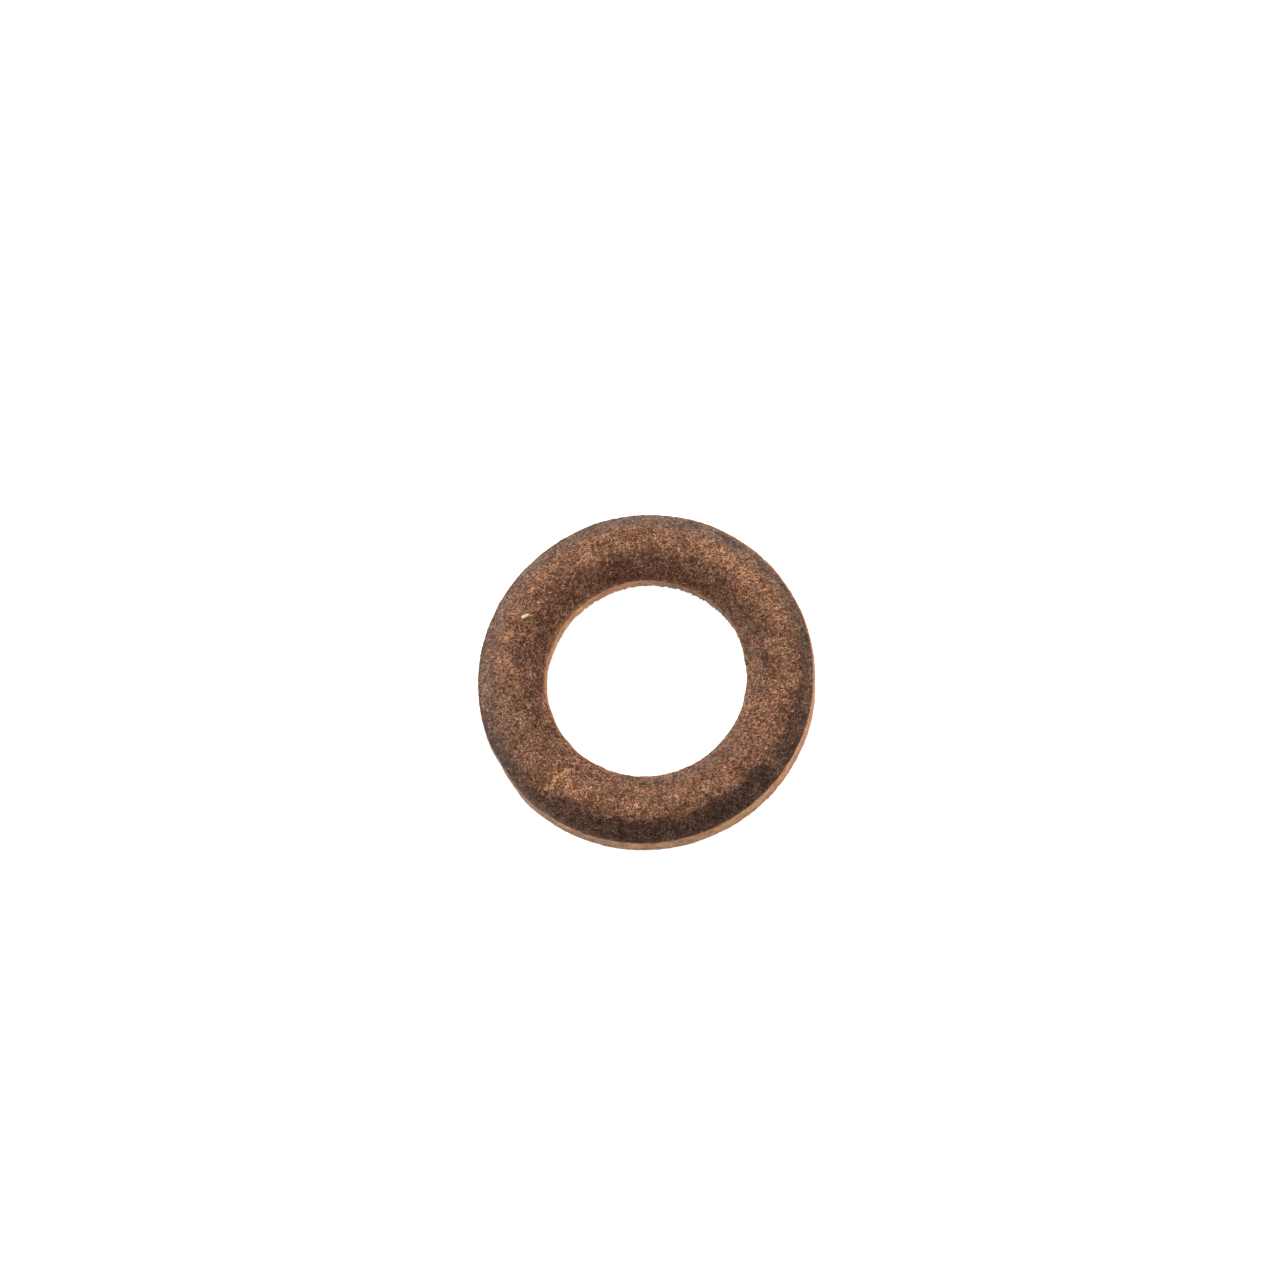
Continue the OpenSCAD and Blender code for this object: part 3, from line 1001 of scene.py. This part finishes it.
def paint_marks(mesh, rim, bore_foot):
    """Paints the stains, the waxy film and its painted sheen, the burnished band and its painted shade, worn
    places and rubbed rims on the ring
    """
    angles, radii, heights = round_places(mesh)
    outer = radii > (OUTER + BORE) / 2
    clearance = rim_clearance(radii)
    by_rim = ramp(heights - rim / MM, *BY_RIM)

    def patches(spots):
        return [oval_patch(angles, radii, spot) for spot in spots]

    def either(outer_knots, bore_knots):
        return np.where(outer, around(angles, outer_knots), around(angles, bore_knots))

    def joined(marks):
        return together([cover * strength for cover, strength in marks])

    dark_rim = outer * around(angles, OUTER_RIM_DARKENING) * by_rim * ramp(clearance, *DARKENED_RIM)
    stains = [band(angles, radii, DARK_BAND, STAIN_FADE), (dark_rim, RIM_DARKENING), *patches(STAINS)]
    store(mesh, "stain", together([cover for cover, _ in stains]))
    store(mesh, "soak", joined([(np.clip(SOAKING * cover, 0, 1), strength) for cover, strength in stains]))
    # The burnished band is partly painted shade
    store(mesh, "burnish_and_shade", np.prod(band(angles, radii, BURNISH_AND_SHADE_BAND, INNER_FADE, outwards=False), axis=0))
    # The waxy film also carries painted sheen
    waxes = [
        band(angles, radii, WAX_AND_SHEEN_BAND, WAX_AND_SHEEN_FADE), band(angles, radii, GREYED_BAND, INNER_FADE, outwards=False)]
    store(mesh, "wax_and_sheen", joined([*waxes, *patches(WAX_AND_SHEEN_PATCHES)]))
    store(mesh, "bright", joined(patches(BRIGHTS)))
    store(mesh, "scuff", np.max([streak(angles, radii, path) for path in SCRATCHES], axis=0))
    store(mesh, "rubbed", either(OUTER_RIM_RUB, BORE_RIM_RUB) * by_rim * ramp(clearance, *RUBBED))
    store(mesh, "aged", either(OUTER_WALL_AGE, BORE_WALL_AGE))
    # Grimy stretches of the walls, partly painted shade
    store(mesh, "grime_and_shade", either(OUTER_WALL_GRIME_AND_SHADE, BORE_WALL_GRIME_AND_SHADE))
    # Painted shade along the foot of each wall and the darkened outer rim
    above_foot = np.where(outer, heights / OUTER_FOOT, (heights - bore_foot / MM) / BORE_FOOT)
    store(mesh, "foot", np.maximum(1 - np.clip(above_foot, 0, 1), dark_rim))


# Loose fibres

# Curls that lie and curls that stand, from end to end over two handles: x and y in lengths, z in lofts
LYING_CURLS = [
    ((-0.30, -0.22, -0.7), (-0.48, 0.58, 1.8), (0.48, 0.58, 1.8), (0.30, -0.22, -0.7)),
    ((-0.45, -0.05, -0.7), (0.02, -0.38, 1.8), (0.66, 0.12, 1.8), (0.10, 0.38, -0.7)),
    ((-0.50, 0.10, -0.7), (-0.15, -0.62, 1.8), (0.20, 0.62, 1.8), (0.50, -0.10, -0.7)),
    ((-0.08, -0.24, -0.7), (-0.70, 0.40, 1.8), (0.74, 0.46, 1.8), (0.12, -0.28, -0.7)),
    ((-0.36, 0.16, -0.7), (-0.10, 0.38, 1.8), (0.36, 0.24, 1.8), (0.34, -0.24, -0.7)),
    ((-0.42, 0.00, -0.7), (-0.12, -0.18, 1.8), (0.12, 0.22, 1.8), (0.42, -0.04, -0.7))]
STANDING_CURLS = [
    ((0.0, 0.0, -0.1), (0.0, 0.05, 0.45), (0.25, 0.1, 0.55), (0.65, 0.2, 0.35)),
    ((0.0, 0.0, -0.1), (0.1, 0.0, 0.4), (-0.1, 0.25, 0.7), (0.1, 0.6, 0.6)),
    ((0.0, 0.0, -0.1), (0.0, 0.0, 0.3), (0.4, -0.1, 0.35), (0.7, -0.35, 0.05)),
    ((0.0, 0.0, -0.1), (-0.1, 0.0, 0.5), (0.1, -0.3, 0.8), (0.35, -0.3, 0.75))]

# Steps along a fibre and round it, how much it may lean, in radians, and between what sizes it may be
FIBRE_STEPS = 5
FIBRE_SIDES = 3
LEANING = 0.12
SIZES = (0.65, 1.25)

# Fibres tried in a square of the spacing, of which those stay that keep their distance
CROWDING = 1.7

# Heights of the surface's normal, from 0 on a wall to 1 on level ground: where nap comes up, as (start,
# width) of a ramp, where a wall's fibres end, and where torn ones begin
NAP_FACING = (0.45, 0.2)
WALL_FACING = 0.5
TORN_FACING = 0.5

# Where a wall's fibres come up, over the floor and under a rim, as (start, width) of a ramp
OFF_FLOOR = (0.3, 0.1)
UNDER_RIM = (0.15, 0.4)

# Distances from a rim at which the nap is fully dense and fully long, and its least density and length
DENSE_NAP = 0.15
LONG_NAP = 0.3
LEAST_DENSE = 0.3
LEAST_LONG = 0.5

# Share of the nap, in number and in length, that wax lays flat
WAX_FLATTENS = 0.2


def curled_tubes(steps, given, curls):
    """A tapered tube for each curl, with how far up the arch each of its points lies"""
    scale = steps.out("ShaderNodeCombineXYZ", "Vector", {
        "X": given["Length"], "Y": given["Length"], "Z": given["Loft"]})
    profile = steps.out("GeometryNodeCurvePrimitiveCircle", "Curve", {
        "Resolution": FIBRE_SIDES, "Radius": steps.times(given["Width"], 0.5)})
    off_middle = steps.apart(steps.out("GeometryNodeSplineParameter", "Factor"), 0.5)
    taper = steps.between(off_middle, 0.15, 0.5, 1.0, 0.35)
    rise = steps.between(off_middle, 0.5, 0.1)
    tubes = steps.node("GeometryNodeJoinGeometry")
    for curl in reversed(curls):
        start, handle, other_handle, end = [steps.vectors("MULTIPLY", corner, scale) for corner in curl]
        line = steps.out("GeometryNodeCurvePrimitiveBezierSegment", "Curve", {
            "Resolution": FIBRE_STEPS, "Start": start, "Start Handle": handle, "End Handle": other_handle,
            "End": end}, mode="POSITION")
        tube = steps.out("GeometryNodeCurveToMesh", "Mesh", {
            "Curve": saved(steps, line, "rise", rise), "Profile Curve": profile, "Scale": taper,
            "Fill Caps": True})
        one = steps.out("GeometryNodeGeometryToInstance", "Instances", {"Geometry": tube})
        steps.feed(tubes.inputs[0], one)
    return tubes.outputs[0]


def fibre_tree(name, curls):
    """Strews curled fibres over the parts of a surface that are planted"""
    inputs = {
        "Geometry": (GEOMETRY, None), "Spacing": (FLOAT, 0.2 * MM), "Length": (FLOAT, 0.5 * MM),
        "Width": (FLOAT, 0.04 * MM), "Loft": (FLOAT, 0.03 * MM), "Seed": (INTEGER, 1),
        "Material": (MATERIAL, None),
    }
    steps, given, result = new_group("GeometryNodeTree", name, inputs, {"Geometry": GEOMETRY})

    def chance(low, high, seed, kind="FLOAT"):
        feeds = {"Min": low, "Max": high, "Seed": seed}
        return steps.out("FunctionNodeRandomValue", "Value", feeds, data_type=kind)

    spacing = given["Spacing"]
    crowd = steps.maths("DIVIDE", CROWDING, steps.times(spacing, spacing))
    planted = steps.node("GeometryNodeDistributePointsOnFaces", {
        "Mesh": given["Geometry"], "Distance Min": spacing, "Density Max": crowd,
        "Density Factor": read_back(steps, "planted"), "Seed": given["Seed"],
    }, distribute_method="POISSON").outputs
    place = steps.out("GeometryNodeInputPosition", "Position")
    spots = saved(steps, planted["Points"], "spot", place, "FLOAT_VECTOR")
    lean = steps.out("ShaderNodeCombineXYZ", "Vector", {
        "X": chance(-LEANING, LEANING, 12), "Y": chance(-LEANING, LEANING, 16), "Z": chance(0.0, 2 * pi, 11)})
    turn = steps.out("FunctionNodeEulerToRotation", "Rotation", {"Euler": lean})
    turned = steps.out("FunctionNodeRotateRotation", "Rotation", {
        "Rotation": planted["Rotation"], "Rotate By": turn}, rotation_space="LOCAL")
    fibres = steps.out("GeometryNodeInstanceOnPoints", "Instances", {
        "Points": spots, "Instance": curled_tubes(steps, given, curls), "Pick Instance": True,
        "Instance Index": chance(0, len(curls) - 1, 14, "INT"), "Rotation": turned,
        "Scale": steps.times(chance(*SIZES, 13), read_back(steps, "reach"))})
    for mark, seed in (("tint", 15), ("hue", 17)):
        fibres = saved(steps, fibres, mark, chance(0.0, 1.0, seed), domain="INSTANCE")
    fibres = passed(steps, "SetShadeSmooth", passed(steps, "RealizeInstances", fibres))
    steps.feed(result["Geometry"], passed(steps, "SetMaterial", fibres, Material=given["Material"]))
    return steps.tree


def bed(body, planted, reach):
    """Copy of the ring's surface that says where fibres grow, and how long"""
    mesh = body.copy()
    store(mesh, "planted", planted)
    store(mesh, "reach", reach)
    return mesh


def upper_bed(body, layer_share):
    """Where nap grows: on the upper face, shorter and sparser by the rims and under the waxy film"""
    upper = ramp(vertex_array(body, "normal")[:, 2], *NAP_FACING)
    clearance = rim_clearance(round_places(body)[1])
    laid = 1 - WAX_FLATTENS * stored(body, "wax_and_sheen")
    dense = np.clip(clearance / DENSE_NAP, LEAST_DENSE, 1)
    return bed(body, layer_share * upper * dense * laid, np.clip(clearance / LONG_NAP, LEAST_LONG, 1) * laid)


def wall_bed(body, rim):
    """Where the cut edge is hairy: all over the walls, less near the floor and the rims"""
    upright = 1 - ramp(np.abs(vertex_array(body, "normal")[:, 2]), 0, WALL_FACING)
    heights = vertex_array(body, "co")[:, 2]
    clear = ramp(heights / MM, *OFF_FLOOR) * ramp((rim - heights) / MM, *UNDER_RIM)
    return bed(body, upright * clear, np.ones(len(heights)))


def scratch_bed(body):
    """Where fibres were torn up: along the scratches"""
    torn = stored(body, "scuff") ** 2
    return bed(body, torn * (vertex_array(body, "normal")[:, 2] > TORN_FACING), np.ones(len(torn)))


# Flecks on the upper face: (angle, radius, length, width, slant from the ring's radius in degrees, lightness)
FLECKS = [
    (153.8, 12.32, 0.5, 0.3, 58, 0.72), (153.2, 12.24, 0.88, 0.32, 58, 0.45),
    (65.0, 11.43, 0.15, 0.11, 0, 0.6), (327.2, 13.22, 0.24, 0.1, 80, 0.6),
    (316.5, 12.84, 0.16, 0.11, 20, 0.45), (345.2, 13.89, 0.2, 0.16, 50, 0.15),
    (212.8, 13.87, 0.15, 0.1, 10, 0.3), (199.0, 13.64, 0.15, 0.1, 80, 0.25),
    (145.2, 11.87, 0.18, 0.11, 60, 0.5), (142.0, 11.5, 0.15, 0.11, 30, 0.4)]

# How thick flecks are, how high their middles lie, how deep their dents are and how close together
FLECK_THICKNESS = 0.08
FLECK_LIFT = 0.08
FLECK_DENT = 0.35
DENTS_ACROSS = 1.7

# Least height of the surface's normal under a fleck
FLECK_FACING = 0.4


def flecks_mesh(body):
    """Small flakes that lie on the surface of the ring"""
    places, normals = vertex_array(body, "co"), vertex_array(body, "normal")
    upward = normals[:, 2] > FLECK_FACING
    shape = bmesh.new()
    tints = []
    for k, (angle, radius, length, width, slant, lightness) in enumerate(FLECKS):
        spot = radius * MM * np.array([cos(radians(angle)), sin(radians(angle))])
        away = np.linalg.norm(places[:, :2] - spot, axis=1) + (~upward)
        nearest = int(np.argmin(away))
        along = Vector((cos(radians(angle + slant)), sin(radians(angle + slant)), 0.0))
        up = Vector(normals[nearest])
        across = up.cross(along).normalized()
        along = across.cross(up)
        stand = Matrix((along, across, up)).transposed().to_4x4()
        stand.translation = Vector(places[nearest]) + up * FLECK_LIFT * MM
        size = Matrix.Diagonal(Vector((length, width, FLECK_THICKNESS, 1.0)) * 0.5 * MM)
        size[3][3] = 1.0
        made = bmesh.ops.create_icosphere(shape, subdivisions=2, radius=1.0)["verts"]
        for vertex in made:
            lumps = noise.noise(vertex.co * DENTS_ACROSS + Vector((3.0 * k, 0.0, 0.0)))
            vertex.co = stand @ size @ (vertex.co * (1 + FLECK_DENT * lumps))
        tints += [lightness] * len(made)
    mesh = bpy.data.meshes.new("surface_flecks")
    shape.to_mesh(mesh)
    shape.free()
    store(mesh, "tint", tints)
    return mesh


# Studio

FLOOR_RADIUS = 3.0
FLOOR_GREY = (0.6, 0.6, 0.6)
FLOOR_GLOW = 0.85
WHITE = (1.0, 1.0, 1.0)
PHOTO_SIDE = 1280
PHOTO_PIXELS_PER_METRE = 10953.0
RING_IN_PHOTO = Vector((648.4, 684.9))
SENSOR = 36.0
NEAREST_SEEN = 0.01
FARTHEST_SEEN = 20.0
KEY_DISTANCE = 0.6
KEY_SIZE = 0.45


def floor_finish():
    """Plain pale floor, softly lit from within, that doesn't hide what is seen from below"""
    material, steps = new_material("Pale floor")
    matt = steps.node("ShaderNodeBsdfPrincipled", {
        "Base Color": FLOOR_GREY, "Roughness": 1.0, "Specular IOR Level": 0.0,
        "Emission Color": WHITE, "Emission Strength": FLOOR_GLOW})
    clear = steps.node("ShaderNodeBsdfTransparent")
    from_below = steps.out("ShaderNodeNewGeometry", "Backfacing")
    both = steps.node("ShaderNodeMixShader", {"Fac": from_below})
    steps.feed(both.inputs[1], matt.outputs["BSDF"])
    steps.feed(both.inputs[2], clear.outputs["BSDF"])
    steps.node("ShaderNodeOutputMaterial", {"Surface": both.outputs["Shader"]})
    return material


def lay_floor():
    mesh = bpy.data.meshes.new("floor")
    far = FLOOR_RADIUS
    corners = [(-far, -far, 0), (far, -far, 0), (far, far, 0), (-far, far, 0)]
    mesh.from_pydata(corners, [], [(0, 1, 2, 3)])
    mesh.materials.append(floor_finish())
    placed("floor", mesh)


def light_sky(scene, studio):
    """Soft light from all round, which looks white where the camera sees past the floor"""
    world = bpy.data.worlds.new("Studio")
    world.use_nodes = True
    world.node_tree.nodes.clear()
    steps = Steps(world.node_tree)
    seen = steps.out("ShaderNodeLightPath", "Is Camera Ray")
    sky = steps.node("ShaderNodeBackground", {"Color": WHITE, "Strength": steps.mixed(seen, studio.sky, 1.0)})
    steps.node("ShaderNodeOutputWorld", {"Surface": sky.outputs["Background"]})
    scene.world = world


def hang_key(scene, studio):
    light = bpy.data.lights.new("key", "AREA")
    light.energy = studio.key_power
    light.shape = "DISK"
    light.size = KEY_SIZE
    lamp = bpy.data.objects.new("key", light)
    sideways = cos(studio.key_height)
    towards = Vector((
        sideways * cos(studio.key_from), sideways * sin(studio.key_from), sin(studio.key_height)))
    lamp.location = towards * KEY_DISTANCE
    lamp.rotation_mode = "QUATERNION"
    lamp.rotation_quaternion = towards.to_track_quat("Z", "Y")
    scene.collection.objects.link(lamp)


def place_camera(scene, studio):
    """A long lens that leans from straight down, without rolling the ring in the picture"""
    hinge = Vector((-sin(studio.lean_towards), cos(studio.lean_towards), 0.0))
    turn = Matrix.Rotation(studio.tilt, 3, hinge)
    data = bpy.data.cameras.new("camera")
    view_width = PHOTO_SIDE / PHOTO_PIXELS_PER_METRE
    data.sensor_width = SENSOR
    data.lens = SENSOR * studio.distance / view_width
    data.clip_start = NEAREST_SEEN
    data.clip_end = FARTHEST_SEEN
    offset = (Vector((PHOTO_SIDE, PHOTO_SIDE)) / 2 - RING_IN_PHOTO) / PHOTO_PIXELS_PER_METRE
    camera = bpy.data.objects.new("camera", data)
    camera.location = turn @ Vector((offset.x, -offset.y, studio.distance))
    camera.rotation_euler = turn.to_euler()
    scene.collection.objects.link(camera)
    scene.camera = camera


# Operators

# Layers of the nap: (name, density, loft, width, seed, tones from its darkest fibre to its lightest)
NAP_LAYERS = (
    ("nap_lower_layer", 1.0, 0.7, 1.0, 3, (0.0, 0.5)),
    ("nap_middle_layer", 1.0, 1.0, 1.1, 7, (0.25, 1.05)),
    ("nap_upper_layer", 0.8, 1.25, 1.2, 4, (0.45, 1.25)))

# Torn fibres beside those of the nap, and how high a wall's fibres arch for their length
TORN_LENGTH = 0.75
TORN_WIDTH = 0.55
TORN_LOFT = 1.6
EDGE_LOFT = 0.25
EDGE_SEED = 5
TORN_SEED = 6
DARK_FLECK = (0.26, 0.16, 0.10)
LIGHT_FLECK = (0.86, 0.68, 0.52)


def dress(piece):
    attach(piece, BODY)


class PACKING_OT_ring(bpy.types.Operator):
    """Make the moulded leather ring"""
    bl_idname = "packing.ring"
    bl_label = "Moulded ring"

    def execute(self, context):
        ring, colours = context.scene.packing_ring, context.scene.packing_colours
        felt = felted_fibres()
        piece = grown("leather_ring", section_mesh(ring), moulded_ring_tree(), {
            "Centre radius": (ring.outer_radius + ring.bore_radius) / 2, "Segments": ring.segments,
            "Groove reach": (ring.outer_radius - ring.bore_radius) / 2 - ring.land,
            "Flesh": flesh_finish(felt, dyed_leather(colours, ragged_patch())),
            "Cut": cut_finish(felt, raw_leather(colours)), "Grain": grain_finish(colours)})
        rim, bore_foot = wall_levels(ring)
        paint_marks(piece.data, rim, bore_foot)
        fray(piece.data, bore_foot)
        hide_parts(NODE)
        dress(piece)
        return {"FINISHED"}


class PACKING_OT_nap(bpy.types.Operator):
    """Strew the nap of the flesh side in three layers, from dark ones below to light ones above"""
    bl_idname = "packing.nap"
    bl_label = "Nap"

    def execute(self, context):
        nap = context.scene.packing_nap
        body = bpy.data.objects["leather_ring"].data
        dye = bpy.data.node_groups["Dyed leather"]
        tree = fibre_tree("Lying fibres", LYING_CURLS)
        for name, share, loft, width, seed, tones in NAP_LAYERS:
            dress(grown(name, upper_bed(body, share), tree, {
                "Spacing": nap.spacing, "Length": nap.length, "Width": nap.width * width,
                "Loft": nap.loft * loft, "Seed": seed, "Material": nap_finish(name, dye, *tones)}))
        return {"FINISHED"}


class PACKING_OT_edge_fibres(bpy.types.Operator):
    """Strew the raw fibres of the cut walls"""
    bl_idname = "packing.edge_fibres"
    bl_label = "Edge fibres"

    def execute(self, context):
        nap = context.scene.packing_nap
        body = bpy.data.objects["leather_ring"].data
        rim, _ = wall_levels(context.scene.packing_ring)
        raw = bpy.data.node_groups["Raw leather"]
        dress(grown("edge_fibres", wall_bed(body, rim), fibre_tree("Standing fibres", STANDING_CURLS), {
            "Spacing": nap.edge_spacing, "Length": nap.edge_length, "Width": nap.edge_width,
            "Loft": nap.edge_length * EDGE_LOFT, "Seed": EDGE_SEED, "Material": edge_fibre_finish(raw)}))
        return {"FINISHED"}


class PACKING_OT_marks(bpy.types.Operator):
    """Lift the torn fibres of the scratch, and drop flecks on the ring"""
    bl_idname = "packing.marks"
    bl_label = "Scratch and flecks"

    def execute(self, context):
        nap, torn = context.scene.packing_nap, context.scene.packing_colours.torn
        body = bpy.data.objects["leather_ring"].data
        finish = loose_finish("Torn fibres", shaded(torn, 0.5), shaded(torn, 1.2))
        dress(grown("torn_fibres", scratch_bed(body), bpy.data.node_groups["Lying fibres"], {
            "Spacing": nap.torn_spacing, "Length": TORN_LENGTH * nap.length, "Width": TORN_WIDTH * nap.width,
            "Loft": TORN_LOFT * nap.loft, "Seed": TORN_SEED, "Material": finish}))
        flecks = placed("surface_flecks", flecks_mesh(body))
        flecks.data.materials.append(loose_finish("Flecks", DARK_FLECK, LIGHT_FLECK))
        dress(flecks)
        return {"FINISHED"}


class PACKING_OT_studio(bpy.types.Operator):
    """Make the floor, the lights and the camera"""
    bl_idname = "packing.studio"
    bl_label = "Studio"

    def execute(self, context):
        studio = context.scene.packing_studio
        lay_floor()
        light_sky(context.scene, studio)
        hang_key(context.scene, studio)
        place_camera(context.scene, studio)
        context.scene.view_settings.view_transform = "Standard"
        return {"FINISHED"}


class PACKING_PT_panel(bpy.types.Panel):
    """Steps that make the packing ring"""
    bl_idname = "PACKING_PT_panel"
    bl_label = "Packing ring"
    bl_space_type = "VIEW_3D"
    bl_region_type = "UI"
    bl_category = "Packing"

    def draw(self, context):
        for name in SETTINGS:
            settings = getattr(context.scene, name)
            box = self.layout.box()
            for value in settings.__annotations__:
                box.prop(settings, value)
        for operator in OPERATORS:
            self.layout.operator(operator.bl_idname)


SETTINGS = {
    "packing_ring": RingSettings, "packing_nap": NapSettings,
    "packing_colours": ColourSettings, "packing_studio": StudioSettings}
OPERATORS = (PACKING_OT_ring, PACKING_OT_nap, PACKING_OT_edge_fibres, PACKING_OT_marks, PACKING_OT_studio)


def register():
    for name, settings in SETTINGS.items():
        bpy.utils.register_class(settings)
        setattr(bpy.types.Scene, name, PointerProperty(type=settings))
    for operator in OPERATORS:
        bpy.utils.register_class(operator)
    bpy.utils.register_class(PACKING_PT_panel)


def unregister():
    bpy.utils.unregister_class(PACKING_PT_panel)
    for operator in reversed(OPERATORS):
        bpy.utils.unregister_class(operator)
    for name, settings in reversed(SETTINGS.items()):
        delattr(bpy.types.Scene, name)
        bpy.utils.unregister_class(settings)


def main():
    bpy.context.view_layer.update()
    register()
    bpy.ops.packing.ring()
    bpy.ops.packing.nap()
    bpy.ops.packing.edge_fibres()
    bpy.ops.packing.marks()
    bpy.ops.packing.studio()


if __name__ == "__main__":
    main()
